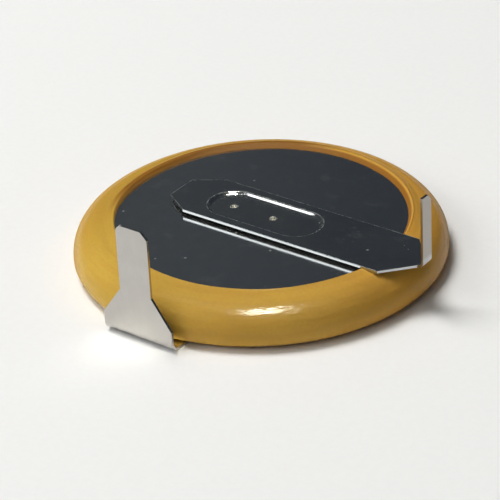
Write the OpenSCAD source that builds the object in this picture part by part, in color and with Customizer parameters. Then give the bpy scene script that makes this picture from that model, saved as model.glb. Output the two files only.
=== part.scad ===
// Lithium coin cell in a shrunk-on sleeve, with a solder tab welded to each pole.
// The cell lies on the tab of its positive pole, with the negative pole upwards.
// Z is the axis of the cell, the negative tab leaves along +X and the positive one along -Y,
// and both end in blades that stand up to pass through a circuit board.

/* [Cell] */
// Diameter of the bare cell
cell_d = 20; // [16:0.5:24]
// Thickness of the bare cell over both poles
cell_t = 2; // [1.6:0.1:3.2]

/* [Positive can] */
// Sheet thickness of the can
can_sheet = 0.25; // [0.2:0.01:0.3]
// Outside radius between the floor and the wall of the can
can_corner_r = 0.4; // [0.3:0.05:0.5]
// Outside radius of the edge that is folded in over the gasket
fold_r = 1.5; // [1.1:0.05:1.6]
// Reach of the folded edge, from the outside of the can inwards
fold_reach = 1.55; // [1.5:0.05:1.8]
// Height of the negative face above the folded edge
cap_proud = 0.05; // [0.02:0.01:0.12]

/* [Negative cap] */
// Sheet thickness of the cap
cap_sheet = 0.25; // [0.2:0.01:0.3]
// Outside radius of the bends in the cap
cap_bend_r = 0.3; // [0.2:0.02:0.34]

/* [Gasket] */
// Thickness between the wall of the can and the skirt of the cap
gasket_side_t = 0.5; // [0.4:0.05:0.7]
// Thickness between the folded edge and the flange of the cap
gasket_fold_t = 0.25; // [0.15:0.05:0.35]
// Thickness under the skirt of the cap
gasket_floor_t = 0.3; // [0.2:0.05:0.4]
// Thickness between the folded edge and the raised face of the cap
gasket_lip_t = 0.15; // [0.1:0.01:0.2]
// Thickness of the leg inside the skirt of the cap
gasket_leg_t = 0.3; // [0.2:0.05:0.5]

/* [Electrodes] */
// Thickness of the steel disc that collects the current of the cathode
collector_t = 0.1; // [0.05:0.01:0.15]
// Thickness of the separator
separator_t = 0.1; // [0.05:0.01:0.2]
// Thickness of the lithium disc
anode_t = 0.55; // [0.3:0.05:0.7]
// Clearance between the electrodes and the inside of the cap
electrode_gap = 0.3; // [0.15:0.05:0.5]
// Clearance between the separator and the inside of the cap
separator_gap = 0.04; // [0.02:0.01:0.1]

/* [Sleeve] */
// Thickness of the shrunk sleeve
sleeve_t = 0.17; // [0.1:0.01:0.25]
// Lap of the sleeve over the negative face, from the outside of the cell inwards
sleeve_top_lap = 2; // [1.8:0.05:3]
// Lap of the sleeve under the positive face, from the outside of the cell inwards
sleeve_under_lap = 2.2; // [1.2:0.05:3]
// Rounding of the sleeve's edge at both openings
sleeve_edge_r = 0.07; // [0.03:0.01:0.09]

/* [Tabs] */
// Sheet thickness of both tabs
tab_sheet = 0.15; // [0.1:0.01:0.2]
// Distance from the axis of the cell to the inner end of each tab
tab_reach = 5.35; // [4.6:0.05:7]
// Width of the inner end of each tab
tab_end_w = 2; // [1.4:0.1:2.6]
// Length over which the inner end widens to the full strip
tab_end_taper = 1.65; // [0.6:0.05:2]
// Gap between the sleeve and the upright blades
blade_gap = 0.4; // [0.2:0.02:1]
// Height of both blade tips above the negative face
blade_tip_h = 4.3; // [2.5:0.1:7]

/* [Negative tab] */
// Width of the strip
negative_w = 4; // [3.2:0.1:6]
// Width of the blade
negative_blade_w = 0.8; // [0.6:0.1:2.4]
// Length of the shoulders between the strip and the bend
negative_shoulder = 1.4; // [0.8:0.05:2.5]
// Inside radius of the bend
negative_bend_r = 0.25; // [0.1:0.05:0.6]
// Width of the cut corner of the blade
negative_cut_w = 0.28; // [0.1:0.02:0.4]
// Height of the cut corner of the blade
negative_cut_h = 0.34; // [0.1:0.02:0.6]

/* [Positive tab] */
// Width of the strip and of the foot of the blade
positive_w = 4.4; // [3.2:0.1:6]
// Width of the blade
positive_blade_w = 2; // [1:0.1:2.8]
// Depth of the foot's side corners below the negative face
positive_foot_drop = 1.1; // [0.8:0.05:1.2]
// Height of the shoulders between the foot and the blade
positive_shoulder = 1.65; // [0.8:0.05:2.2]
// Inside radius of the bend
positive_bend_r = 0.4; // [0.2:0.05:0.7]
// Cut corner of the blade
positive_cut = 0.4; // [0.1:0.05:0.45]
// Rounding of the blade's other corner
positive_round = 0.4; // [0.1:0.05:0.5]

/* [Welding pocket] */
// Length of the pocket that is pressed into each tab
pocket_l = 7.1; // [5.5:0.1:8]
// Width of the pocket
pocket_w = 2.9; // [2.2:0.1:3]
// Run of the pocket's sloping wall
pocket_slope = 0.2; // [0.1:0.02:0.3]
// Distance from the axis of the cell to the middle of the pocket, towards the blade
pocket_x = 0.35; // [0:0.05:1]
// Distance between the two weld dents
weld_pitch = 2.64; // [1.6:0.04:3]
// Distance from the axis of the cell to the middle of the two dents, away from the blade
weld_back = 0.43; // [0:0.01:0.6]
// Diameter of a weld dent
weld_d = 0.5; // [0.3:0.02:0.7]
// Depth of a weld dent
weld_depth = 0.06; // [0.02:0.01:0.09]

/* [Hidden] */
$fn = 96;
// Excess of a cut beyond the material
over = 1;
// Smallest inside radius of a pressed bend
tight_r = 0.05;
// Overlap of a bend with the flat sheet at both of its ends
bend_lap = 0.03;

// Levels: the strip of the positive tab lies on z = 0, with the sleeve on it
can_z = tab_sheet + sleeve_t;
face_z = can_z + cell_t;
tip_z = face_z + blade_tip_h;

// Can, with levels counted from the outside of its floor
can_r = cell_d / 2;
can_h = cell_t - cap_proud;
can_fold_r = min(fold_r, can_h - can_corner_r);
fold_centre_r = can_r - can_fold_r;
fold_centre_z = can_h - can_fold_r;
fold_edge_r = can_r - fold_reach;

// Cap: its face clears the folded edge, and its flange lies under the fold, by the gasket
cap_r = fold_edge_r - gasket_lip_t;
skirt_r = can_r - can_sheet - gasket_side_t;
skirt_z = can_sheet + gasket_floor_t;
flange_room = can_fold_r - can_sheet - gasket_fold_t;
flange_run = max(skirt_r - fold_centre_r, 0);
flange_z = fold_centre_z + sqrt(max(flange_room * flange_room - flange_run * flange_run, 0));
leg_r = skirt_r - cap_sheet - gasket_leg_t;

// Stack between the floor of the can and the underside of the cap
electrode_r = cap_r - cap_sheet - electrode_gap;
separator_r = cap_r - cap_sheet - separator_gap;
cathode_z = can_sheet + collector_t;
anode_z = cell_t - cap_sheet - anode_t;
separator_z = anode_z - separator_t;

// Blades
sleeve_r = can_r + sleeve_t;
blade_x = sleeve_r + blade_gap;
pocket_depth = sleeve_t;

// Waste of a convex quarter round, for a corner that points to +X and +Y
module round_waste(r) {
    difference() {
        square(r + over);
        circle(r);
    }
}

// Half section of a disc, from the axis outwards, with its lower and upper edges rounded
module disc_section(r, h, low_r, top_r) {
    difference() {
        square([r, h]);
        if (low_r > 0) translate([r - low_r, low_r]) mirror([0, 1]) round_waste(low_r);
        if (top_r > 0) translate([r - top_r, h - top_r]) round_waste(top_r);
    }
}

module can_outside() {
    disc_section(can_r, can_h, can_corner_r, can_fold_r);
}

module can_inside() {
    inner_corner_r = max(can_corner_r - can_sheet, tight_r);
    translate([0, can_sheet])
        disc_section(can_r - can_sheet, can_h - 2 * can_sheet, inner_corner_r, can_fold_r - can_sheet);
}

// Outline of the cap without the depth of its hollow: a flange, with the raised face on it
module cap_outline(inset, bend_r) {
    translate([0, skirt_z - inset])
        disc_section(skirt_r - inset, flange_z - skirt_z, 0, bend_r);
    translate([0, skirt_z - inset])
        disc_section(cap_r - inset, cell_t - skirt_z, 0, bend_r);
}

module cap_section() {
    difference() {
        cap_outline(0, cap_bend_r);
        cap_outline(cap_sheet, max(cap_bend_r - cap_sheet, tight_r));
    }
}

module positive_can() {
    color("silver")
        translate([0, 0, can_z])
            rotate_extrude() difference() {
                can_outside();
                can_inside();
                translate([0, can_h / 2]) square([fold_edge_r, can_h]);
            }
}

module negative_cap() {
    color("gainsboro")
        translate([0, 0, can_z]) rotate_extrude() cap_section();
}

// The gasket fills what the can and the cap leave between them, out of one moulded ring
module sealing_gasket() {
    color("lightyellow")
        translate([0, 0, can_z])
            rotate_extrude() difference() {
                union() {
                    can_inside();
                    translate([0, can_sheet]) square([fold_edge_r, can_h - can_sheet]);
                }
                cap_section();
                square([leg_r, flange_z - cap_sheet]);
                square([cap_r - cap_sheet / 2, cell_t]);
            }
}

module electrode_disc(r, z, t) {
    translate([0, 0, can_z + z]) cylinder(r = r, h = t);
}

module cathode_collector() {
    color("gray") electrode_disc(electrode_r, can_sheet, collector_t);
}

module cathode_pellet() {
    color("dimgray") electrode_disc(electrode_r, cathode_z, separator_z - cathode_z);
}

module separator() {
    color("white") electrode_disc(separator_r, separator_z, separator_t);
}

module lithium_anode() {
    color("lightgray") electrode_disc(electrode_r, anode_z, anode_t);
}

// Lip of the sleeve, which climbs from the folded edge onto the negative face
module sleeve_lip(top_r) {
    joint_r = max(fold_centre_r, fold_edge_r + tight_r);
    polygon([
        [top_r, can_h], [joint_r, can_h], [joint_r, can_h + sleeve_t],
        [cap_r, cell_t + sleeve_t], [top_r, cell_t + sleeve_t]
    ]);
}

// What lies under the sleeve: the can, and the cap with the mouth of the fold round it
module under_sleeve() {
    can_outside();
    polygon([[0, 0], [fold_edge_r, 0], [fold_edge_r, can_h], [cap_r, cell_t], [0, cell_t]]);
}

module shrink_sleeve() {
    top_r = can_r - sleeve_top_lap;
    under_r = can_r - sleeve_under_lap;
    color("goldenrod")
        translate([0, 0, can_z])
            rotate_extrude() difference() {
                union() {
                    translate([0, -sleeve_t])
                        disc_section(sleeve_r, can_h + 2 * sleeve_t, can_corner_r + sleeve_t, can_fold_r + sleeve_t);
                    sleeve_lip(top_r);
                }
                under_sleeve();
                translate([0, can_h / 2]) square([top_r, cell_t]);
                translate([0, -can_h / 2]) square([under_r, can_h]);
                translate([top_r + sleeve_edge_r, cell_t + sleeve_t - sleeve_edge_r])
                    rotate(90) round_waste(sleeve_edge_r);
                translate([under_r + sleeve_edge_r, sleeve_edge_r - sleeve_t])
                    rotate(180) round_waste(sleeve_edge_r);
            }
}

// Solid with round ends and sloping sides, which narrows by the slope from its top to z = 0
module pocket_form(w, h) {
    straight = pocket_l - pocket_w;
    for (side = [-1, 1])
        translate([side * straight / 2, 0, 0])
            cylinder(r1 = w / 2 - pocket_slope, r2 = w / 2, h = h);
    translate([-straight / 2, 0, 0]) rotate([90, 0, 90]) linear_extrude(straight)
        polygon([
            [pocket_slope - w / 2, 0], [w / 2 - pocket_slope, 0], [w / 2, h], [-w / 2, h]
        ]);
}

// Strip that lies on z = 0, with its pocket pressed down by the thickness of the sleeve
module welded_strip(outline) {
    wall_run = norm([pocket_slope, pocket_depth]);
    wall_w = tab_sheet * (wall_run - pocket_slope) / pocket_depth;
    dent_r = (weld_d * weld_d / 4 + weld_depth * weld_depth) / (2 * weld_depth);
    difference() {
        union() {
            linear_extrude(tab_sheet) polygon(outline);
            translate([pocket_x, 0, -pocket_depth]) pocket_form(pocket_w + 2 * wall_w, pocket_depth);
        }
        translate([pocket_x, 0, tab_sheet - pocket_depth]) pocket_form(pocket_w, pocket_depth);
        for (side = [-1, 1])
            translate([side * weld_pitch / 2 - weld_back, 0, tab_sheet - pocket_depth - weld_depth + dent_r])
                sphere(dent_r);
    }
}

// Half of a strip's outline, from its inner end to where it meets the bend
function strip_half(w, bend_x, shoulder, end_w) = [
    [-tab_reach, tab_end_w / 2], [tab_end_taper - tab_reach, w / 2],
    [bend_x - shoulder, w / 2], [bend_x, end_w / 2]
];

function reversed(points) = [for (i = [len(points) - 1:-1:0]) points[i]];

function both_halves(half) = concat(half, [for (p = reversed(half)) [p[0], -p[1]]]);

// Quarter bend from a strip on z = 0 to a blade whose outer face is at x = outer_x
module upward_bend(outer_x, inner_r, w) {
    outer_r = inner_r + tab_sheet;
    translate([outer_x - outer_r, w / 2, outer_r]) rotate([90, 0, 0]) linear_extrude(w) {
        intersection() {
            difference() {
                circle(outer_r);
                circle(inner_r);
            }
            translate([0, -outer_r]) square(outer_r);
        }
        translate([-bend_lap, -outer_r]) square([bend_lap, tab_sheet]);
        translate([inner_r, 0]) square([tab_sheet, bend_lap]);
    }
}

// Upright plate with its outer face at x = outer_x, from an outline of sideways and upward sizes
module blade(outer_x, outline) {
    translate([outer_x - tab_sheet, 0, 0]) rotate([90, 0, 90]) linear_extrude(tab_sheet)
        polygon(outline);
}

module negative_tab() {
    strip_z = face_z + sleeve_t;
    outer_x = blade_x + tab_sheet;
    bend_x = blade_x - negative_bend_r;
    bend_top = negative_bend_r + tab_sheet;
    half_w = negative_blade_w / 2;
    tip = tip_z - strip_z;
    color("lightgray") translate([0, 0, strip_z]) {
        welded_strip(both_halves(strip_half(negative_w, bend_x, negative_shoulder, negative_blade_w)));
        upward_bend(outer_x, negative_bend_r, negative_blade_w);
        blade(outer_x, [
            [-half_w, bend_top], [half_w, bend_top], [half_w, tip - negative_cut_h],
            [half_w - negative_cut_w, tip], [-half_w, tip]
        ]);
    }
}

module positive_tab() {
    outer_x = blade_x + tab_sheet;
    bend_x = blade_x - positive_bend_r;
    bend_top = positive_bend_r + tab_sheet;
    foot_z = face_z - positive_foot_drop;
    half_w = positive_blade_w / 2;
    blade_half = [
        [positive_w / 2, bend_top], [positive_w / 2, foot_z], [half_w, foot_z + positive_shoulder],
        [half_w, tip_z - positive_cut], [half_w - positive_cut, tip_z]
    ];
    other_half = [
        [-half_w, tip_z], [-half_w, foot_z + positive_shoulder],
        [-positive_w / 2, foot_z], [-positive_w / 2, bend_top]
    ];
    color("lightgray") rotate([0, 0, -90]) {
        translate([0, 0, tab_sheet]) mirror([0, 0, 1])
            welded_strip(both_halves(strip_half(positive_w, bend_x, 0, positive_w)));
        upward_bend(outer_x, positive_bend_r, positive_w);
        difference() {
            blade(outer_x, concat(blade_half, other_half));
            translate([blade_x - over, positive_round - half_w, tip_z - positive_round])
                rotate([90, 0, 90]) linear_extrude(tab_sheet + 2 * over) rotate(90) round_waste(positive_round);
        }
    }
}

positive_can();
negative_cap();
sealing_gasket();
cathode_collector();
cathode_pellet();
separator();
lithium_anode();
shrink_sleeve();
negative_tab();
positive_tab();
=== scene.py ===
"""Looks of a sleeved lithium coin cell with solder tabs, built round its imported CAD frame.

The cell's own solids carry their true sizes. Here each gets its finish, the shrunk sleeve is
formed anew with the soft unevenness of real film, and a plain studio is set up round it.
"""

import logging
import math
from dataclasses import dataclass, field
from enum import Enum

import bpy
import numpy as np
from mathutils import Matrix, Vector


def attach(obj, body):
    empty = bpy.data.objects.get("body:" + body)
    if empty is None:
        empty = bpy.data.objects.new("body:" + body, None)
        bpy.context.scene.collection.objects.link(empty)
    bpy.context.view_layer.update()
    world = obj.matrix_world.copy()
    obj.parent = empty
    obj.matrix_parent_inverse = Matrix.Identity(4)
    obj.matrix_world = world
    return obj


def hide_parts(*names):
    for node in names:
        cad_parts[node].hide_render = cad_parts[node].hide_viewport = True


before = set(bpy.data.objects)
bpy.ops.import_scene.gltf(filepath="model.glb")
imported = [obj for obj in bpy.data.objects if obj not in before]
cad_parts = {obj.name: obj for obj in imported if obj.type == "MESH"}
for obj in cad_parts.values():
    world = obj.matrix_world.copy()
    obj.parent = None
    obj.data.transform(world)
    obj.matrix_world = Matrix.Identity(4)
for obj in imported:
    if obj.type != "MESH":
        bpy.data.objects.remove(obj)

LOG = logging.getLogger("coin_cell")
MM = 0.001

Colour = tuple[float, float, float]
Point = tuple[float, float, float]
Socket = bpy.types.NodeSocket
Value = Socket | float
Pair = tuple[float, float]
Outline = list[Pair]
Faces = list[tuple[int, ...]]


class Run(Enum):
    """The way that the grain of a sheet runs, as the sheet was rolled."""

    ALONG_X = "along x, and up the blade at its end"
    ALONG_Y = "along y, and up the blade at its end"
    ROUND = "round the axis of the cell"


class Reach(Enum):
    """What a studio lamp acts on."""

    DULL = "dull surfaces only, with no mirror image"
    SHINY = "shiny surfaces only, as a card that is mirrored"


# Material graphs


class Graph:
    """A node graph of one material, with the few node chains that the finishes share."""

    def __init__(self, name: str) -> None:
        """Starts an empty material.

        Args:
            name: Name of the material.
        """
        self.material = bpy.data.materials.new(name)
        self.material.use_nodes = True
        self.tree = self.material.node_tree
        self.tree.nodes.clear()
        self.shader = self.tree.nodes.new("ShaderNodeBsdfPrincipled")
        output = self.tree.nodes.new("ShaderNodeOutputMaterial")
        self.tree.links.new(self.shader.outputs["BSDF"], output.inputs["Surface"])

    def link(self, source: Value, target: Socket) -> None:
        """Feeds a socket from another one, or sets it to a number.

        Args:
            source: Output socket or plain value.
            target: Input socket.
        """
        if isinstance(source, (int, float)):
            target.default_value = source
        else:
            self.tree.links.new(source, target)

    def place(self) -> Socket:
        """Returns the object coordinates, in metres."""
        return self.tree.nodes.new("ShaderNodeTexCoord").outputs["Object"]

    def attribute(self, name: str) -> Socket:
        """Reads a number that the mesh carries.

        Args:
            name: Name of the attribute.

        Returns:
            Its value.
        """
        node = self.tree.nodes.new("ShaderNodeAttribute")
        node.attribute_name = name
        return node.outputs["Fac"]

    def split(self, vector: Socket) -> tuple[Socket, Socket, Socket]:
        """Takes a vector apart.

        Args:
            vector: Vector socket.

        Returns:
            Its x, y and z.
        """
        node = self.tree.nodes.new("ShaderNodeSeparateXYZ")
        self.link(vector, node.inputs[0])
        return node.outputs[0], node.outputs[1], node.outputs[2]

    def vector(self, x: Value, y: Value, z: Value) -> Socket:
        """Puts a vector together.

        Args:
            x: First part.
            y: Second part.
            z: Third part.

        Returns:
            The vector socket.
        """
        node = self.tree.nodes.new("ShaderNodeCombineXYZ")
        for part, target in zip((x, y, z), node.inputs):
            self.link(part, target)
        return node.outputs[0]

    def calc(self, kind: str, a: Value, b: Value = 0.0, c: Value = 0.0) -> Socket:
        """Works out one Math node.

        Args:
            kind: Operation of the Math node.
            a: First value.
            b: Second value, where the operation has one.
            c: Third value, where the operation has one.

        Returns:
            The result.
        """
        node = self.tree.nodes.new("ShaderNodeMath")
        node.operation = kind
        for part, target in zip((a, b, c), node.inputs):
            self.link(part, target)
        return node.outputs[0]

    def times(self, a: Value, b: Value) -> Socket:
        """Multiplies two values."""
        return self.calc("MULTIPLY", a, b)

    def plus(self, a: Value, b: Value) -> Socket:
        """Adds two values."""
        return self.calc("ADD", a, b)

    def minus(self, a: Value, b: Value) -> Socket:
        """Takes the second value from the first."""
        return self.calc("SUBTRACT", a, b)

    def times_plus(self, a: Value, b: Value, c: Value) -> Socket:
        """Multiplies two values and adds a third."""
        return self.calc("MULTIPLY_ADD", a, b, c)

    def larger(self, a: Value, b: Value) -> Socket:
        """Returns the larger of two values."""
        return self.calc("MAXIMUM", a, b)

    def noise(self, at: Socket, scale: float, detail: float = 2.0, rough: float = 0.5,
              w: Socket | None = None) -> Socket:
        """Adds a noise texture.

        Args:
            at: Coordinates.
            scale: Scale on those coordinates.
            detail: Octaves.
            rough: Weight of the finer octaves.
            w: Fourth coordinate, for noise that closes on itself.

        Returns:
            The noise, about 0.5 in the mean.
        """
        node = self.tree.nodes.new("ShaderNodeTexNoise")
        node.noise_dimensions = "3D" if w is None else "4D"
        self.link(at, node.inputs["Vector"])
        if w is not None:
            self.link(w, node.inputs["W"])
        node.inputs["Scale"].default_value = scale
        node.inputs["Detail"].default_value = detail
        node.inputs["Roughness"].default_value = rough
        return node.outputs[0]

    def cells(self, at: Socket, scale: float) -> tuple[Socket, Socket]:
        """Adds a Voronoi texture.

        Args:
            at: Coordinates.
            scale: Scale on those coordinates.

        Returns:
            The distance to the nearest cell's point, and one random number of that cell.
        """
        node = self.tree.nodes.new("ShaderNodeTexVoronoi")
        self.link(at, node.inputs["Vector"])
        node.inputs["Scale"].default_value = scale
        red, _, _ = self.split(node.outputs["Color"])
        return node.outputs["Distance"], red

    def span(self, value: Socket, low: float, high: float, to_low: float = 0.0,
             to_high: float = 1.0, smooth: bool = True) -> Socket:
        """Maps a value smoothly from one range to another, and holds it there.

        Args:
            value: Value to map.
            low: Start of its range.
            high: End of its range.
            to_low: Result at the start.
            to_high: Result at the end.
            smooth: Whether it eases in and out, and does not run straight.

        Returns:
            The mapped value.
        """
        node = self.tree.nodes.new("ShaderNodeMapRange")
        node.interpolation_type = "SMOOTHSTEP" if smooth else "LINEAR"
        self.link(value, node.inputs["Value"])
        ends = {"From Min": low, "From Max": high, "To Min": to_low, "To Max": to_high}
        for name, number in ends.items():
            node.inputs[name].default_value = number
        return node.outputs[0]

    def blend(self, share: Value, a: Socket | Colour, b: Socket | Colour) -> Socket:
        """Mixes two colours.

        Args:
            share: Share of the second colour.
            a: First colour.
            b: Second colour.

        Returns:
            The mixed colour.
        """
        node = self.tree.nodes.new("ShaderNodeMix")
        node.data_type = "RGBA"
        self.link(share, node.inputs["Factor"])
        for colour, target in ((a, node.inputs[6]), (b, node.inputs[7])):
            if isinstance(colour, tuple):
                target.default_value = (*colour, 1.0)
            else:
                self.link(colour, target)
        return node.outputs[2]

    def bump(self, height: Socket, depth: float, strength: float = 1.0,
             under: Socket | None = None) -> Socket:
        """Adds a bump.

        Args:
            height: Height, from 0 to 1.
            depth: Depth of the whole height, in metres.
            strength: Share of the bump.
            under: Normal of a coarser bump under it.

        Returns:
            The bumped normal.
        """
        node = self.tree.nodes.new("ShaderNodeBump")
        self.link(height, node.inputs["Height"])
        node.inputs["Distance"].default_value = depth
        node.inputs["Strength"].default_value = strength
        if under is not None:
            self.link(under, node.inputs["Normal"])
        return node.outputs[0]

    def ring_place(self, radial: float, around: float) -> tuple[Socket, Socket]:
        """Makes coordinates that are stretched round the cell's axis and close on themselves.

        Args:
            radial: Scale across the ring and along its axis.
            around: Scale round the ring.

        Returns:
            The vector and the fourth coordinate for noise.
        """
        x, y, z = self.split(self.place())
        length = self.tree.nodes.new("ShaderNodeVectorMath")
        length.operation = "LENGTH"
        self.link(self.vector(x, y, 0.0), length.inputs[0])
        angle = self.calc("ARCTAN2", y, x)
        cosine = self.times(self.calc("COSINE", angle), around)
        sine = self.times(self.calc("SINE", angle), around)
        across = self.times(length.outputs["Value"], radial)
        return self.vector(across, self.times(z, radial), cosine), sine

    def sheet_place(self, run: Run, along: float, across: float) -> Socket:
        """Makes coordinates that are stretched along a strip and on up its blade.

        Args:
            run: Way of the grain.
            along: Scale along the grain.
            across: Scale across it.

        Returns:
            The vector.
        """
        x, y, z = self.split(self.place())
        if run is Run.ALONG_X:
            length, side = self.plus(x, z), y
        else:
            length, side = self.minus(z, y), x
        return self.vector(self.times(length, along), self.times(side, across), 0.0)


def tinted(colour: Colour, red: float, green: float, blue: float) -> Colour:
    """Returns a colour with each of its parts at another brightness."""
    return (colour[0] * red, colour[1] * green, colour[2] * blue)


# Finishes


@dataclass(frozen=True)
class TabForm:
    """Outline of a tab's strip and of its welding pocket, in millimetres."""

    strip_w: float = 4.0
    reach: float = 5.35
    end_w: float = 2.0
    taper: float = 1.65
    middle: float = 0.35
    length: float = 7.1
    width: float = 2.9
    slope: float = 0.2
    depth: float = 0.17


@dataclass(frozen=True)
class Mark:
    """Where a kind of mark lies on steel, and how much rougher and duller it leaves it."""

    where: Socket
    rough: float
    dull: float = 0.0


@dataclass(frozen=True)
class RolledSteel:
    """Bright rolled steel sheet, with its grain, light scratches, dust and weld marks.

    Scales of noise are per metre. Depths, widths and distances are in millimetres.
    """

    name: str
    colour: Colour
    roughness: float
    run: Run
    grain_depth: float = 0.0006
    fine_depth: float = 0.0004
    fine_share: float = 0.5
    dust: float = 0.5
    dents: tuple[Point, ...] = ()
    form: TabForm | None = None
    shaded_blade_colour: Colour | None = None
    blade_z: float = 2.9
    blade_blend: float = 0.3
    metallic: float = 0.98
    dust_colour: Colour = (0.78, 0.77, 0.75)
    soot_colour: Colour = (0.02, 0.019, 0.018)
    spatter_colour: Colour = (0.8, 0.76, 0.68)
    scorch_core: float = 0.13
    scorch_reach: float = 0.275
    scorch_fray: float = 0.25
    crease: float = 0.1
    crease_from: Pair = (-1.5, -2.0)
    worn_rim: Pair = (0.015, 0.045)
    worn_top: Pair = (-0.06, -0.03)
    worn_side: Pair = (-0.012, -0.004)
    ring_grain: Pair = (26000.0, 3.0)
    sheet_grain: Pair = (500.0, 22000.0)
    scratch_scales: Point = (90.0, 2600.0, 500.0)
    scratch_slant: float = 0.35
    cloud_scale: float = 260.0
    smudge_scale: float = 800.0
    mottle_scale: float = 1300.0
    speck_scale: float = 1500.0
    worn_scale: float = 2600.0
    prick_scale: float = 5200.0
    crease_scale: float = 7000.0
    fine_scale: float = 9000.0
    spatter_scale: float = 16000.0

    def make(self) -> bpy.types.Material:
        """Builds the material.

        Returns:
            The material.
        """
        g = Graph(self.name)
        place = g.place()
        grain = self._grain(g)
        cloud = g.noise(place, self.cloud_scale, 3.0, 0.55)
        fine = g.noise(place, self.fine_scale, 2.0, 0.6)
        speck = self._specks(g, place)
        burnt = self._burnt(g, place, fine)
        tone = self._tone(g, place, grain, cloud, speck)
        if burnt is not None:
            spatter = g.span(g.noise(place, self.spatter_scale, 1.0, 0.5), 0.52, 0.6)
            scorch = g.blend(spatter, self.soot_colour, self.spatter_colour)
            tone = g.blend(burnt, tone, scorch)
        rough = g.span(cloud, 0.3, 0.7, self.roughness * 0.85, self.roughness * 1.2)
        dull: Value = 0.0
        for mark in self._marks(g, cloud, fine, speck, burnt):
            rough = g.plus(rough, g.times(mark.where, mark.rough))
            dull = g.times_plus(mark.where, mark.dull, dull)
        g.link(tone, g.shader.inputs["Base Color"])
        g.link(rough, g.shader.inputs["Roughness"])
        g.link(g.minus(self.metallic, dull), g.shader.inputs["Metallic"])
        low = None if self.form is None else g.bump(self._bends(g), self.form.depth * MM)
        low = g.bump(grain, self.grain_depth * MM, under=low)
        normal = g.bump(fine, self.fine_depth * MM, self.fine_share, low)
        g.link(normal, g.shader.inputs["Normal"])
        return g.material

    def _grain(self, g: Graph) -> Socket:
        """Draws the fine lines that rolling or turning left.

        Args:
            g: Graph of the material.

        Returns:
            The noise of the grain.
        """
        if self.run is Run.ROUND:
            at, w = g.ring_place(*self.ring_grain)
            return g.noise(at, 1.0, 3.0, 0.6, w)
        return g.noise(g.sheet_place(self.run, *self.sheet_grain), 1.0, 3.0, 0.6)

    def _specks(self, g: Graph, place: Socket) -> Socket:
        """Scatters dust: a few larger specks, with small pricks between them.

        Args:
            g: Graph of the material.
            place: Object coordinates.

        Returns:
            The specks, from 0 to 1.
        """
        near, pick = g.cells(place, self.speck_scale)
        speck = g.times(g.span(near, 0.05, 0.17, 1.0, 0.0), g.span(pick, 0.9, 0.92))
        small, luck = g.cells(place, self.prick_scale)
        prick = g.times(g.span(small, 0.1, 0.3, 1.0, 0.0), g.span(luck, 0.7, 0.95, 0.0, 0.3))
        return g.times(g.larger(speck, prick), self.dust)

    def _tone(self, g: Graph, place: Socket, grain: Socket, cloud: Socket, speck: Socket) -> Socket:
        """Colours the sheet, without its scorch marks, and darkens the blade as painted shade where a shaded
        blade colour is given.

        Args:
            g: Graph of the material.
            place: Object coordinates.
            grain: Noise of the grain.
            cloud: Noise of large faint clouds.
            speck: Specks of dust.

        Returns:
            The colour.
        """
        mottle = g.noise(place, self.mottle_scale, 4.0, 0.6)
        tone = g.blend(g.span(grain, 0.3, 0.7), self._shade(0.95), self._shade(1.03))
        tone = g.blend(g.span(cloud, 0.3, 0.75, 0.0, 0.4), tone, self._shade(0.84))
        tone = g.blend(g.span(mottle, 0.35, 0.65, 0.0, 0.6), tone, self._shade(0.9))
        tone = g.blend(speck, tone, self.dust_colour)
        if self.shaded_blade_colour is None:
            return tone
        # Painted shade: the blade above blade_z takes the darker shaded blade colour.
        _, _, z = g.split(place)
        up = g.span(z, self.blade_z * MM, (self.blade_z + self.blade_blend) * MM)
        return g.blend(up, tone, self.shaded_blade_colour)

    def _shade(self, factor: float) -> Colour:
        """Returns the steel's colour at another brightness."""
        return tinted(self.colour, factor, factor, factor)

    def _marks(self, g: Graph, cloud: Socket, fine: Socket, speck: Socket,
               burnt: Socket | None) -> list[Mark]:
        """Gathers all that roughens and dulls the sheet.

        Args:
            g: Graph of the material.
            cloud: Noise of large faint clouds.
            fine: Fine noise.
            speck: Specks of dust.
            burnt: Scorch marks, where the sheet has a weld.

        Returns:
            The marks.
        """
        line = g.noise(self._scratch_place(g), 1.0, 1.0, 0.5)
        scratch = g.times(g.span(line, 0.74, 0.77), g.span(cloud, 0.45, 0.6))
        smear = g.noise(g.place(), self.smudge_scale, 2.0, 0.5)
        smudge = g.times(g.span(smear, 0.6, 0.7), g.span(fine, 0.35, 0.6))
        marks = [Mark(scratch, 0.18), Mark(speck, 0.35, 0.14), Mark(smudge, 0.05, 0.016)]
        if self.form is not None:
            marks.append(Mark(self._worn_edges(g), 0.2, 0.13))
        if burnt is not None:
            marks.append(Mark(burnt, 0.35, 0.3))
        return marks

    def _scratch_place(self, g: Graph) -> Socket:
        """Stretches coordinates for long thin scratches, at a slant to the grain.

        Args:
            g: Graph of the material.

        Returns:
            The vector.
        """
        x, y, z = g.split(g.place())
        slant = g.times_plus(x, self.scratch_slant, y)
        along, across, upward = self.scratch_scales
        return g.vector(g.times(x, along), g.times(slant, across), g.times(z, upward))

    def _pocket_place(self, g: Graph) -> tuple[Socket, Socket, Socket]:
        """Measures the place on a tab against its pocket.

        Args:
            g: Graph of the material.

        Returns:
            The distances along the tab, to its middle line, and to the middle line of the pocket.
        """
        x, y, _ = g.split(g.place())
        along, side = (x, y) if self.run is Run.ALONG_X else (g.times(y, -1.0), x)
        side = g.calc("ABSOLUTE", side)
        past = g.calc("ABSOLUTE", g.minus(along, self.form.middle * MM))
        past = g.larger(g.minus(past, (self.form.length - self.form.width) / 2 * MM), 0.0)
        away = g.calc("SQRT", g.plus(g.times(past, past), g.times(side, side)))
        return along, side, away

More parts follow.
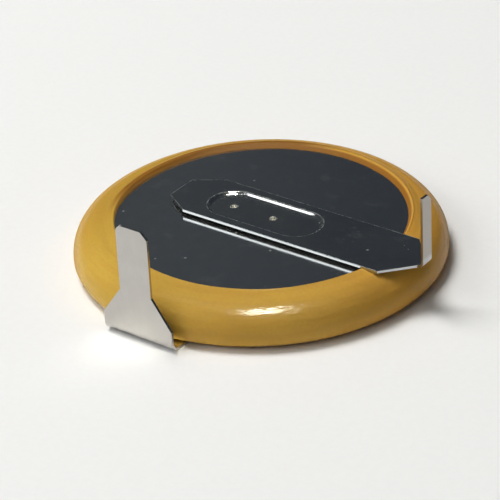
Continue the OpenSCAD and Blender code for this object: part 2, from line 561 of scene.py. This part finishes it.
    def _bends(self, g: Graph) -> Socket:
        """Rounds the pocket's wall into the soft bends of a pressing, creased at its inner end.

        Args:
            g: Graph of the material.

        Returns:
            The height that the bends add to the straight slope, in depths of the pocket.
        """
        along, _, away = self._pocket_place(g)
        rim = self.form.width / 2 * MM
        floor = (self.form.width / 2 - self.form.slope) * MM
        slope = g.span(away, rim, floor, smooth=False)
        bends = g.minus(slope, g.span(away, rim, floor))
        on_wall = g.times(g.span(slope, 0.02, 0.2), g.span(slope, 0.98, 0.8))
        inner_end = g.span(along, self.crease_from[0] * MM, self.crease_from[1] * MM)
        folds = g.noise(g.place(), self.crease_scale, 3.0, 0.6)
        crease = g.times(folds, g.times(on_wall, inner_end))
        return g.times_plus(crease, self.crease, bends)

    def _worn_edges(self, g: Graph) -> Socket:
        """Marks the rubbed rim of the pocket and the rubbed outline of the strip.

        Args:
            g: Graph of the material.

        Returns:
            The mark from 0 to 1.
        """
        along, side, away = self._pocket_place(g)
        form = self.form
        off_rim = g.calc("ABSOLUTE", g.minus(away, form.width / 2 * MM))
        at_rim = g.span(off_rim, self.worn_rim[0] * MM, self.worn_rim[1] * MM, 1.0, 0.0)
        cut = Vector(((form.end_w - form.strip_w) / 2, form.taper)).normalized()
        corner = (form.reach * cut.x - form.end_w / 2 * cut.y) * MM
        past_cut = g.times_plus(side, cut.y, g.times_plus(along, cut.x, corner))
        past_side = g.minus(side, form.strip_w / 2 * MM)
        past_end = g.minus(-form.reach * MM, along)
        past = g.larger(g.larger(past_cut, past_side), past_end)
        on_top = g.span(past, self.worn_top[0] * MM, self.worn_top[1] * MM)
        off_side = g.span(past, self.worn_side[0] * MM, self.worn_side[1] * MM, 1.0, 0.0)
        patchy = g.span(g.noise(g.place(), self.worn_scale, 3.0, 0.6), 0.38, 0.6, 0.4, 1.0)
        return g.times(g.larger(at_rim, g.times(on_top, off_side)), patchy)

    def _burnt(self, g: Graph, place: Socket, fine: Socket) -> Socket | None:
        """Marks where the welding electrodes scorched the sheet.

        Args:
            g: Graph of the material.
            place: Object coordinates.
            fine: Fine noise that frays the mark.

        Returns:
            The mark from 0 to 1, or None where the sheet has no weld.
        """
        mark = None
        for dent in self.dents:
            away = g.tree.nodes.new("ShaderNodeVectorMath")
            away.operation = "DISTANCE"
            g.link(place, away.inputs[0])
            away.inputs[1].default_value = tuple(c * MM for c in dent)
            fray = g.minus(fine, 0.5)
            frayed = g.times_plus(fray, self.scorch_fray * MM, away.outputs["Value"])
            one = g.span(frayed, self.scorch_core * MM, self.scorch_reach * MM, 0.9, 0.0)
            mark = one if mark is None else g.larger(mark, one)
        return mark


@dataclass(frozen=True)
class ShrinkFilm:
    """Coloured film, shrunk on with heat: half glossy, with faint ripples round the cell.

    Scales of noise are per metre, and for ripples and buckles across the ring and round it.
    Depths are in millimetres. The two directions are those in which painted light and shade change its
    colour.
    """

    name: str
    colour: Colour = (0.595, 0.352, 0.06)
    roughness: float = 0.2
    cloud_scale: float = 160.0
    fine_scale: float = 5200.0
    fine_depth: float = 0.0016
    ripple_scales: Pair = (2600.0, 2.2)
    ripple_depth: float = 0.012
    buckle_scales: Pair = (5200.0, 16.0)
    buckle_depth: float = 0.022
    rightward: Pair = (0.79, 0.61)
    shaded_far_left: Pair = (-0.97, 0.24)

    def make(self) -> bpy.types.Material:
        """Builds the material.

        Returns:
            The material.
        """
        g = Graph(self.name)
        place = g.place()
        cloud = g.noise(place, self.cloud_scale, 3.0, 0.5)
        fine = g.noise(place, self.fine_scale, 3.0, 0.6)
        at, w = g.ring_place(*self.ripple_scales)
        ripple = g.noise(at, 1.0, 2.0, 0.5, w)
        # The lip attribute carries painted shade for the lip's wall and the slope behind its crest.
        lip = g.attribute("lip")
        g.link(self._tone(g, cloud, fine, ripple, lip), g.shader.inputs["Base Color"])
        grazing = g.tree.nodes.new("ShaderNodeLayerWeight")
        grazing.inputs["Blend"].default_value = 0.5
        rough = g.span(fine, 0.3, 0.7, self.roughness * 0.9, self.roughness * 1.15)
        rough = g.plus(rough, g.span(grazing.outputs["Facing"], 0.6, 1.0, 0.0, 0.35))
        g.link(g.times_plus(lip, 0.45, rough), g.shader.inputs["Roughness"])
        g.shader.inputs["IOR"].default_value = 1.5
        g.shader.inputs["Specular IOR Level"].default_value = 0.1
        g.shader.inputs["Subsurface Weight"].default_value = 0.12
        g.shader.inputs["Subsurface Radius"].default_value = (0.00035, 0.0002, 0.00005)
        g.shader.inputs["Subsurface Scale"].default_value = 1.0
        at, w = g.ring_place(*self.buckle_scales)
        low = g.bump(ripple, self.ripple_depth * MM)
        low = g.bump(g.noise(at, 1.0, 2.0, 0.5, w), self.buckle_depth * MM, under=low)
        g.link(g.bump(fine, self.fine_depth * MM, 0.6, low), g.shader.inputs["Normal"])
        return g.material

    def _tone(self, g: Graph, cloud: Socket, fine: Socket, ripple: Socket, lip: Socket) -> Socket:
        """Colours the film: painted light makes it yellower and lighter at the left, painted shade makes it
        redder at the right and darker at the far left, and painted shade darkens its lip.

        Args:
            g: Graph of the material.
            cloud: Noise of large faint clouds.
            fine: Fine noise.
            ripple: Noise of the ripples round the cell.
            lip: Painted shade of the lip's wall and of the slope behind its crest.

        Returns:
            The colour.
        """
        x, y, _ = g.split(g.place())
        right = g.times_plus(y, self.rightward[1], g.times(x, self.rightward[0]))
        far = g.times_plus(x, self.shaded_far_left[0], g.times(y, self.shaded_far_left[1]))
        # The first three layers are painted light and shade by side; the last is painted shade down the lip.
        layers = (
            (g.span(right, -9.0 * MM, -2.0 * MM, 0.7, 0.0), (1.02, 1.13, 1.1)),
            (g.span(right, 0.0, 9.0 * MM, 0.0, 0.8), (0.97, 0.8, 0.75)),
            (g.span(far, 2.0 * MM, 7.5 * MM, 0.0, 0.9), (0.84, 0.82, 0.7)),
            (g.span(ripple, 0.42, 0.62, 0.0, 0.27), (0.86, 0.8, 0.85)),
            (g.span(fine, 0.35, 0.7, 0.0, 0.2), (0.8, 0.76, 0.8)),
            (g.times(lip, 0.9), (0.39, 0.24, 0.12)),
        )
        thin, thick = tinted(self.colour, 0.93, 0.9, 0.9), tinted(self.colour, 1.05, 1.06, 1.15)
        tone = g.blend(g.span(cloud, 0.3, 0.7), thin, thick)
        for share, tint in layers:
            tone = g.blend(share, tone, tinted(self.colour, *tint))
        return tone


@dataclass(frozen=True)
class GrainedSolid:
    """A dull material with a grain of its own: moulded plastic, pressed powder or soft metal."""

    name: str
    light: Colour
    dark: Colour
    roughness: float
    grain_scale: float
    grain_depth: float
    metallic: float = 0.0
    cloud_scale: float = 300.0

    def make(self) -> bpy.types.Material:
        """Builds the material.

        Returns:
            The material.
        """
        g = Graph(self.name)
        place = g.place()
        cloud = g.noise(place, self.cloud_scale, 3.0, 0.55)
        grain = g.noise(place, self.grain_scale, 4.0, 0.65)
        tone = g.blend(g.span(grain, 0.3, 0.7), self.dark, self.light)
        tone = g.blend(g.span(cloud, 0.35, 0.75, 0.0, 0.4), tone, self.dark)
        g.link(tone, g.shader.inputs["Base Color"])
        rough = g.span(cloud, 0.3, 0.7, self.roughness * 0.88, min(1.0, self.roughness * 1.1))
        g.link(rough, g.shader.inputs["Roughness"])
        g.shader.inputs["Metallic"].default_value = self.metallic
        g.link(g.bump(grain, self.grain_depth * MM), g.shader.inputs["Normal"])
        return g.material


@dataclass(frozen=True)
class Fleece:
    """White fleece of fine crossing fibres."""

    name: str
    colour: Colour = (0.86, 0.86, 0.84)
    fibre_along: float = 1200.0
    fibre_across: float = 9000.0
    fibre_depth: float = 0.01

    def make(self) -> bpy.types.Material:
        """Builds the material.

        Returns:
            The material.
        """
        g = Graph(self.name)
        x, y, z = g.split(g.place())
        along, across = self.fibre_along, self.fibre_across
        one = g.noise(g.vector(g.times(x, along), g.times(y, across), z), 1.0, 3.0)
        two = g.noise(g.vector(g.times(x, across), g.times(y, along), z), 1.0, 3.0)
        fibre = g.larger(one, two)
        shadow = tinted(self.colour, 0.82, 0.82, 0.8)
        tone = g.blend(g.span(fibre, 0.45, 0.7), shadow, self.colour)
        g.link(tone, g.shader.inputs["Base Color"])
        g.shader.inputs["Roughness"].default_value = 0.9
        g.link(g.bump(fibre, self.fibre_depth * MM), g.shader.inputs["Normal"])
        return g.material


@dataclass(frozen=True)
class StudioPaper:
    """Plain pale paper that the cell lies on."""

    name: str = "studio_paper"
    colour: Colour = (0.9, 0.9, 0.9)
    grain_scale: float = 2500.0

    def make(self) -> bpy.types.Material:
        """Builds the material.

        Returns:
            The material.
        """
        g = Graph(self.name)
        grain = g.noise(g.place(), self.grain_scale, 3.0, 0.6)
        hollow = tinted(self.colour, 0.985, 0.985, 0.985)
        tone = g.blend(g.span(grain, 0.3, 0.7), hollow, self.colour)
        g.link(tone, g.shader.inputs["Base Color"])
        g.shader.inputs["Roughness"].default_value = 0.85
        g.shader.inputs["Specular IOR Level"].default_value = 0.2
        return g.material


# Shared steps


def dress(node: str, material: bpy.types.Material) -> bpy.types.Object:
    """Gives a CAD node its material.

    Args:
        node: Name of the node.
        material: Material for all of it.

    Returns:
        The node's object.
    """
    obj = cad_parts[node]
    obj.data.materials.clear()
    obj.data.materials.append(material)
    LOG.info("%s: %s", node, material.name)
    return obj


def ring_faces(rings: int, count: int) -> Faces:
    """Joins rings of points into a surface that closes on itself both ways.

    Args:
        rings: Number of rings.
        count: Number of points in each ring.

    Returns:
        The faces.
    """
    faces = []
    for i in range(rings):
        here, there = i * count, (i + 1) % rings * count
        for j in range(count):
            k = (j + 1) % count
            faces.append((here + j, there + j, there + k, here + k))
    return faces


def mesh_piece(name: str, points: np.ndarray, faces: Faces, material: bpy.types.Material) -> bpy.types.Object:
    """Makes a smooth piece that rides on the cell.

    Args:
        name: Name of the piece.
        points: Its vertices, in millimetres.
        faces: Its faces.
        material: Its material.

    Returns:
        The piece.
    """
    mesh = bpy.data.meshes.new(name)
    mesh.from_pydata([tuple(p) for p in points * MM], [], faces)
    mesh.validate()
    mesh.polygons.foreach_set("use_smooth", [True] * len(mesh.polygons))
    mesh.materials.append(material)
    obj = bpy.data.objects.new(name, mesh)
    bpy.context.scene.collection.objects.link(obj)
    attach(obj, "root")
    LOG.info("%s: %d points", name, len(points))
    return obj


def sphere_place(azimuth: float, elevation: float, distance: float) -> Vector:
    """Finds a point round the cell.

    Args:
        azimuth: Degrees from the side that looks along +Y, growing towards +X.
        elevation: Degrees above the floor.
        distance: Metres from the cell.

    Returns:
        The point, in metres.
    """
    a, e = math.radians(azimuth), math.radians(elevation)
    return Vector((math.sin(a) * math.cos(e), -math.cos(a) * math.cos(e), math.sin(e))) * distance


# Sub-assemblies


@dataclass
class CellHalves:
    """The drawn can, the cap in it, and the gasket that parts them."""

    can: RolledSteel = RolledSteel("can_steel", (0.62, 0.62, 0.61), 0.2, Run.ROUND)
    cap: RolledSteel = RolledSteel(
        "cap_steel", (0.625, 0.64, 0.65), 0.13, Run.ALONG_Y, dust=0.6)
    gasket: GrainedSolid = GrainedSolid(
        "gasket_plastic", (0.84, 0.83, 0.77), (0.76, 0.75, 0.68), 0.5, 3500.0, 0.002)

    def build(self) -> None:
        """Dresses the three pieces."""
        dress("positive_can", self.can.make())
        dress("negative_cap", self.cap.make())
        dress("sealing_gasket", self.gasket.make())


@dataclass
class ElectrodeStack:
    """What lies between the can and the cap: collector, cathode, separator and lithium."""

    collector: RolledSteel = RolledSteel(
        "collector_steel", (0.55, 0.55, 0.56), 0.3, Run.ALONG_X, dust=0.0)
    cathode: GrainedSolid = GrainedSolid(
        "cathode_mass", (0.06, 0.06, 0.065), (0.025, 0.025, 0.027), 0.9, 9000.0, 0.01)
    separator: Fleece = Fleece("separator_fleece")
    lithium: GrainedSolid = GrainedSolid(
        "lithium", (0.72, 0.72, 0.74), (0.6, 0.6, 0.62), 0.45, 1800.0, 0.003, metallic=1.0)

    def build(self) -> None:
        """Dresses the four discs."""
        dress("cathode_collector", self.collector.make())
        dress("cathode_pellet", self.cathode.make())
        dress("separator", self.separator.make())
        dress("lithium_anode", self.lithium.make())


@dataclass
class ShrinkSleeve:
    """The film round the cell, with the uneven lip that heat leaves round its upper opening.

    Sizes are in millimetres, heights are over the can's floor, and angles run from +X.
    """

    can_z: float = 0.32
    can_r: float = 10.0
    can_h: float = 1.95
    cell_t: float = 2.0
    film: float = 0.17
    fold_r: float = 1.5
    corner_r: float = 0.4
    fold_edge_r: float = 8.45
    top_lap: float = 2.0
    under_lap: float = 2.2
    soft_w: float = 0.6
    foot_r: float = 7.99
    foot_lean: float = 0.03
    lip_edge_r: float = 0.06
    lip_w: float = 0.12
    lip_swell: float = 0.055
    loose_swell: float = 0.075
    loose_at: float = 50.0
    swell_w: float = 0.3
    shaded_slope_w: float = 0.42
    shaded_slope_at: float = 150.0
    wider: float = 0.07
    off_centre: float = 0.26
    off_centre_at: float = 66.0
    oval: float = 0.1
    oval_at: float = 75.0
    bulge: float = 0.16
    bulge_at: float = 207.0
    ripple: float = 0.008
    rings: int = 360
    finish: ShrinkFilm = ShrinkFilm("sleeve_film")

    def build(self) -> bpy.types.Object:
        """Forms the sleeve.

        Returns:
            The sleeve, which stands for the plain solid.
        """
        section = self._section()
        angles = np.arange(self.rings) * 2 * math.pi / self.rings
        points = np.array([self._point(a, *spot) for a in angles for spot in section])
        faces = ring_faces(self.rings, len(section))
        piece = mesh_piece("sleeve_film", points, faces, self.finish.make())
        # The lip attribute is painted shade down the lip's wall and behind its crest on the far side.
        lip = piece.data.attributes.new("lip", "FLOAT", "POINT")
        marks = [self._lip_painted_shade(a, *spot) for a in angles for spot in section]
        lip.data.foreach_set("value", marks)
        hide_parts("shrink_sleeve")
        return piece

    def _section(self) -> list[tuple[float, float, bool]]:
        """Draws the film's section round its whole outline.

        Returns:
            Radius and height of each point, and whether it lies on the cell.
        """
        outer = self._under_lip() + self._outer_bends() + self._upper_lip()
        return [(*spot, False) for spot in outer] + [(*spot, True) for spot in self._inner_side()]

    def _under_lip(self) -> Outline:
        """Draws the lip of the lower opening and the flat film beside it.

        Returns:
            Radius and height of each point.
        """
        edge = self.can_r - self.under_lap
        lip = [(edge, 0.0), (edge + 0.01, -0.09), (edge + 0.05, -0.15), (edge + 0.14, -self.film)]
        flat = np.linspace(edge + 0.4, self.can_r - self.corner_r, 5)
        return lip + [(r, -self.film) for r in flat]

    def _outer_bends(self) -> Outline:
        """Draws the outside of the film over the can's lower corner and its folded rim.

        Returns:
            Radius and height of each point.
        """
        corner, low_r = self.can_r - self.corner_r, self.corner_r + self.film
        low = [(corner + low_r * math.sin(t), self.corner_r - low_r * math.cos(t))
               for t in np.linspace(0.12, math.pi / 2, 9)]
        centre_r, centre_z = self.can_r - self.fold_r, self.can_h - self.fold_r
        high_r = self.fold_r + self.film
        high = [(centre_r + high_r * math.cos(t), centre_z + high_r * math.sin(t))
                for t in np.linspace(0.03, math.pi / 2 - 0.03, 26)]
        return low + high

    def _upper_lip(self) -> Outline:
        """Draws the outside of the film over the lip's crest and down to the cap.

        Returns:
            Radius and height of each point.
        """
        top_r, crest, edge_r = self.can_r - self.top_lap, self.cell_t + self.film, self.lip_edge_r
        top = [(top_r + 0.42, crest - 0.02), (top_r + 0.3, crest - 0.006), (top_r + 0.2, crest)]
        edge = [(top_r + edge_r * (1 - math.sin(t)), crest - edge_r * (1 - math.cos(t)))
                for t in np.linspace(-0.7, math.pi / 2 - 0.15, 9)]
        shares = (0.55, 0.42, 0.3, 0.18, 0.08, 0.0)
        wall = [(top_r, self.cell_t + self.film * share) for share in shares]
        return top + edge + wall + [(top_r + 0.03, self.cell_t)]

    def _inner_side(self) -> Outline:
        """Draws the side of the film that lies on the cell, from the upper to the lower lip.

        Returns:
            Radius and height of each point.
        """
        rim = [(self.fold_edge_r - 0.15, self.cell_t), (self.fold_edge_r, self.can_h)]
        centre_r, centre_z = self.can_r - self.fold_r, self.can_h - self.fold_r
        fold = [(centre_r + self.fold_r * math.cos(t), centre_z + self.fold_r * math.sin(t))
                for t in np.linspace(math.pi / 2, 0, 12)]
        corner, bend_r = self.can_r - self.corner_r, self.corner_r
        bend = [(corner + bend_r * math.cos(t), bend_r - bend_r * math.sin(t))
                for t in np.linspace(0, math.pi / 2, 6)]
        return rim + fold + bend + [(self.can_r - self.under_lap + 0.3, 0.0)]

    def _point(self, angle: float, r: float, z: float, inside: bool) -> Point:
        """Places one point of the section, with the film's unevenness.

        Args:
            angle: Angle round the axis, in radians.
            r: Radius of the point.
            z: Height of the point.
            inside: Whether the point lies on the cell.

        Returns:
            The point.
        """
        soft_r = self.can_r - self.soft_w
        if not inside and z > self.cell_t - self.soft_w and r < soft_r:
            stray = self._wander(angle)
            r += min(1.0, max(0.0, (soft_r - r) / (2 * self.soft_w))) ** 1.5 * stray
            edge_r = self.can_r - self.top_lap + stray
            height = max(0.0, (z - self.cell_t) / self.film)
            if r < edge_r + self.lip_w:
                reach = max(self.foot_lean, edge_r - self.foot_r)
                r -= reach * (1 - min(1.0, height)) ** 1.4
            near = math.exp(-((max(0.0, r - edge_r) / self.swell_w) ** 2))
            z += self._swell(angle) * height * near
        elif not inside:
            r += self.ripple * math.sin(7 * angle + 2.0 * z)
        return (r * math.cos(angle), r * math.sin(angle), self.can_z + z)

    def _lip_painted_shade(self, angle: float, r: float, z: float, inside: bool) -> float:
        """Gives painted shade to the lip's wall, and to the slope behind its crest on the far side, where it
        stands for a wider wall in shade.

        Args:
            angle: Angle round the axis, in radians.
            r: Radius of the point in the section.
            z: Height of the point in the section.
            inside: Whether the point lies on the cell.

        Returns:
            The painted shade, from 0 to 1.
        """
        past = r - (self.can_r - self.top_lap)
        if inside or past > self.shaded_slope_w or z < self.cell_t - 0.01:
            return 0.0
        wall = (self.cell_t + self.film - 0.02 - z) / 0.05 if past < 0.05 else 0.0
        shade_side = (math.cos(angle - math.radians(self.shaded_slope_at)) - 0.47) / 0.3
        slope = min(1.0, max(0.0, shade_side)) * min(1.0, (self.shaded_slope_w - past) / self.lip_w)
        return min(1.0, max(0.0, wall, slope))

    def _wander(self, angle: float) -> float:
        """Tells how far the lip strays outwards.

        Args:
            angle: Angle round the axis, in radians.

        Returns:
            The distance.
        """
        off_centre = self.off_centre * math.cos(angle - math.radians(self.off_centre_at))
        oval = self.oval * math.cos(2 * angle - math.radians(self.oval_at))
        past_bulge = math.acos(math.cos(angle - math.radians(self.bulge_at)))
        bulge = self.bulge * math.exp(-((past_bulge / 0.5) ** 2))
        waves = (0.012 * math.sin(3 * angle + 0.4) + 0.01 * math.sin(7 * angle + 2.1)
                 + 0.005 * math.sin(13 * angle))
        return self.wider + off_centre - oval + bulge + waves

    def _swell(self, angle: float) -> float:
        """Tells how far the lip's crest stands above the film's own thickness.

        Args:
            angle: Angle round the axis, in radians.

        Returns:
            The height, which is nothing under the negative tab.
        """
        turn = math.atan2(math.sin(angle), math.cos(angle))
        free = 1 - math.exp(-((turn / 0.36) ** 6))
        loose = math.exp(-(((turn - math.radians(self.loose_at)) / 0.5) ** 2))
        waves = 0.01 * math.sin(5 * angle + 1.0)
        return free * (self.lip_swell + self.loose_swell * loose + waves)


@dataclass
class SolderTab:
    """A strip with a pressed welding pocket, which ends in an upright blade.

    Sizes are in millimetres.
    """

    node: str
    run: Run
    dents: tuple[Point, ...]
    colour: Colour = (0.555, 0.533, 0.508)
    shaded_blade_colour: Colour | None = None
    strip_w: float = 4.0
    seam: float = 0.0005
    edge_round: float = 0.032
    edge_steps: int = 3
    edge_angle: float = 38.0
    middle_z: float = 1.0
    pip_r: float = 0.06
    pip_bead: float = 0.017
    pip_lift: float = 0.004
    pip_turns: int = 28
    pip_sides: int = 10
    seed: int = 3

    def build(self) -> None:
        """Dresses the tab, eases its punched edges and adds its weld pips."""
        finish = RolledSteel(
            f"{self.node}_steel", self.colour, roughness=0.15, run=self.run, grain_depth=0.0003,
            fine_share=0.2, dust=0.9, dents=self.dents, form=TabForm(self.strip_w),
            shaded_blade_colour=self.shaded_blade_colour)
        material = finish.make()
        obj = dress(self.node, material)
        weld = obj.modifiers.new("close_seams", "WELD")
        weld.merge_threshold = self.seam * MM
        ease = obj.modifiers.new("punched_edges", "BEVEL")
        ease.width = self.edge_round * MM
        ease.segments = self.edge_steps
        ease.limit_method = "ANGLE"
        ease.angle_limit = math.radians(self.edge_angle)
        ease.harden_normals = False
        faces = ring_faces(self.pip_turns, self.pip_sides)
        rng = np.random.default_rng(self.seed)
        for number, dent in enumerate(self.dents):
            name = f"{self.node}_weld_pip_{number + 1}"
            mesh_piece(name, self._pip_points(rng, dent), faces, material)

    def _pip_points(self, rng: np.random.Generator, dent: Point) -> np.ndarray:
        """Raises the rough rim that a welding electrode leaves in a dent.

        Args:
            rng: Source of the rim's unevenness.
            dent: Centre of the dent's floor.

        Returns:
            The points of the rim, ring by ring.
        """
        x, y, z = dent
        up = 1.0 if z > self.middle_z else -1.0
        wobble = rng.normal(0, 1, (4, 2))
        points = []
        for i in range(self.pip_turns):
            a = 2 * math.pi * i / self.pip_turns
            stray = sum(wobble[k, 0] * math.cos((k + 2) * a) + wobble[k, 1] * math.sin((k + 2) * a)
                        for k in range(4))
            ring = self.pip_r * (1.1 + 0.17 * stray)
            lumps = 1 + 0.75 * math.sin(2 * a + 3 * wobble[0, 0]) + 0.25 * rng.normal()
            thick = self.pip_bead * max(0.2, lumps)
            for j in range(self.pip_sides):
                b = 2 * math.pi * j / self.pip_sides
                r = ring + thick * math.cos(b) * 1.3
                high = z + up * (self.pip_lift + thick * math.sin(b))
                points.append((x + r * math.cos(a), y + r * math.sin(a), high))
        return np.array(points)


# Studio


@dataclass
class SoftLamp:
    """A soft lamp, aimed at the cell."""

    name: str
    azimuth: float
    elevation: float
    width: float
    height: float
    radiance: float
    colour: Colour
    distance: float = 0.5
    reach: Reach = Reach.DULL

    def build(self) -> bpy.types.Object:
        """Sets the lamp up.

        Returns:
            The lamp.
        """
        data = bpy.data.lights.new(self.name, "AREA")
        data.shape = "RECTANGLE"
        data.size, data.size_y = self.width, self.height
        data.energy = self.radiance * math.pi * self.width * self.height
        data.color = self.colour
        lamp = bpy.data.objects.new(self.name, data)
        lamp.location = sphere_place(self.azimuth, self.elevation, self.distance)
        lamp.rotation_euler = lamp.location.to_track_quat("Z", "Y").to_euler()
        lamp.visible_glossy = self.reach is Reach.SHINY
        lamp.visible_diffuse = self.reach is Reach.DULL
        bpy.context.scene.collection.objects.link(lamp)
        LOG.info("%s: radiance %.2f", self.name, self.radiance)
        return lamp


@dataclass
class Studio:
    """Pale floor, dim room and soft lamps."""

    floor_half: float = 1.2
    room_left: Colour = (0.057, 0.066, 0.074)
    room_right: Colour = (0.027, 0.034, 0.045)
    rightward: Point = (0.794, 0.608, 0.0)
    room_blend: Pair = (-0.045, 0.065)
    paper: StudioPaper = StudioPaper()
    lamps: list[SoftLamp] = field(default_factory=lambda: [
        SoftLamp("key", -84.0, 68.0, 0.2, 0.2, 15.1, (1.0, 0.985, 0.95)),
        SoftLamp("fill", 10.0, 40.0, 0.3, 0.3, 0.9, (1.0, 0.98, 0.96)),
        SoftLamp("window_left", -48.0, 35.0, 0.5, 0.22, 2.7, (0.98, 0.985, 0.975)),
        SoftLamp("card_left", -39.0, 33.5, 0.17, 0.2, 2.85, (0.98, 0.985, 0.975),
                 reach=Reach.SHINY),
        SoftLamp("window_high", 39.0, 71.0, 0.11, 0.11, 240.0, (1.0, 1.0, 0.82),
                 reach=Reach.SHINY),
    ])

    def build(self) -> None:
        """Sets the floor, the room and the lamps up."""
        h = self.floor_half
        mesh = bpy.data.meshes.new("floor")
        mesh.from_pydata([(-h, -h, 0), (h, -h, 0), (h, h, 0), (-h, h, 0)], [], [(0, 1, 2, 3)])
        mesh.materials.append(self.paper.make())
        floor = bpy.data.objects.new("floor", mesh)
        bpy.context.scene.collection.objects.link(floor)
        self._room()
        bpy.context.scene.view_settings.view_transform = "Standard"
        for lamp in self.lamps:
            lamp.build()

    def _room(self) -> None:
        """Lights the room dimly, with its darker half to the right of the photograph's view."""
        world = bpy.data.worlds.new("room")
        world.use_nodes = True
        tree = world.node_tree
        ahead = tree.nodes.new("ShaderNodeTexCoord").outputs["Generated"]
        aside = tree.nodes.new("ShaderNodeVectorMath")
        aside.operation = "DOT_PRODUCT"
        aside.inputs[1].default_value = self.rightward
        share = tree.nodes.new("ShaderNodeMapRange")
        share.interpolation_type = "SMOOTHSTEP"
        share.inputs["From Min"].default_value = self.room_blend[0]
        share.inputs["From Max"].default_value = self.room_blend[1]
        walls = tree.nodes.new("ShaderNodeMix")
        walls.data_type = "RGBA"
        walls.inputs[6].default_value = (*self.room_left, 1.0)
        walls.inputs[7].default_value = (*self.room_right, 1.0)
        tree.links.new(ahead, aside.inputs[0])
        tree.links.new(aside.outputs["Value"], share.inputs["Value"])
        tree.links.new(share.outputs[0], walls.inputs["Factor"])
        tree.links.new(walls.outputs[2], tree.nodes["Background"].inputs["Color"])
        bpy.context.scene.world = world


@dataclass
class ViewPoint:
    """The camera of the photograph, as fitted to its edges."""

    azimuth: float = 37.4385
    away: float = 116.9986
    above: float = 64.2482
    face_z: float = 2.32
    turn: float = -0.3059
    tilt: float = 29.5315
    roll: float = -2.9618
    focal_px: float = 2477.0
    frame_px: float = 500.0
    sensor_w: float = 36.0

    def build(self) -> bpy.types.Object:
        """Sets the camera up.

        Returns:
            The camera.
        """
        data = bpy.data.cameras.new("camera")
        data.sensor_width = self.sensor_w
        data.lens = self.focal_px * self.sensor_w / self.frame_px
        data.clip_start, data.clip_end = 0.002, 10.0
        psi, e, rho = (math.radians(v) for v in (self.turn, self.tilt, self.roll))
        ahead = Vector((math.sin(psi) * math.cos(e), math.cos(psi) * math.cos(e), -math.sin(e)))
        right = Vector((math.cos(psi), -math.sin(psi), 0.0))
        upward = right.cross(ahead)
        side = right * math.cos(rho) + upward * math.sin(rho)
        top = upward * math.cos(rho) - right * math.sin(rho)
        place = Vector((0.0, -self.away, self.face_z + self.above)) * MM
        seen = Matrix.Identity(4)
        for column, axis in enumerate((side, top, -ahead, place)):
            for row in range(3):
                seen[row][column] = axis[row]
        camera = bpy.data.objects.new("camera", data)
        camera.matrix_world = Matrix.Rotation(math.radians(self.azimuth), 4, "Z") @ seen
        bpy.context.scene.collection.objects.link(camera)
        bpy.context.scene.camera = camera
        LOG.info("camera: lens %.1f mm", data.lens)
        return camera


def main() -> None:
    """Builds the cell's looks and the studio, in order."""
    logging.basicConfig(level=logging.INFO, format="%(name)s %(message)s")
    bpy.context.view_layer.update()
    ViewPoint().build()
    CellHalves().build()
    ElectrodeStack().build()
    ShrinkSleeve().build()
    # The negative tab's darker blade colour is painted shade.
    SolderTab("negative_tab", Run.ALONG_X, ((0.89, 0.0, 2.41), (-1.75, 0.0, 2.41)),
              (0.515, 0.53, 0.54), shaded_blade_colour=(0.37, 0.345, 0.32)).build()
    SolderTab("positive_tab", Run.ALONG_Y, ((0.0, -0.89, 0.23), (0.0, 1.75, 0.23)),
              strip_w=4.4, seed=8).build()
    Studio().build()


if __name__ == "__main__":
    main()
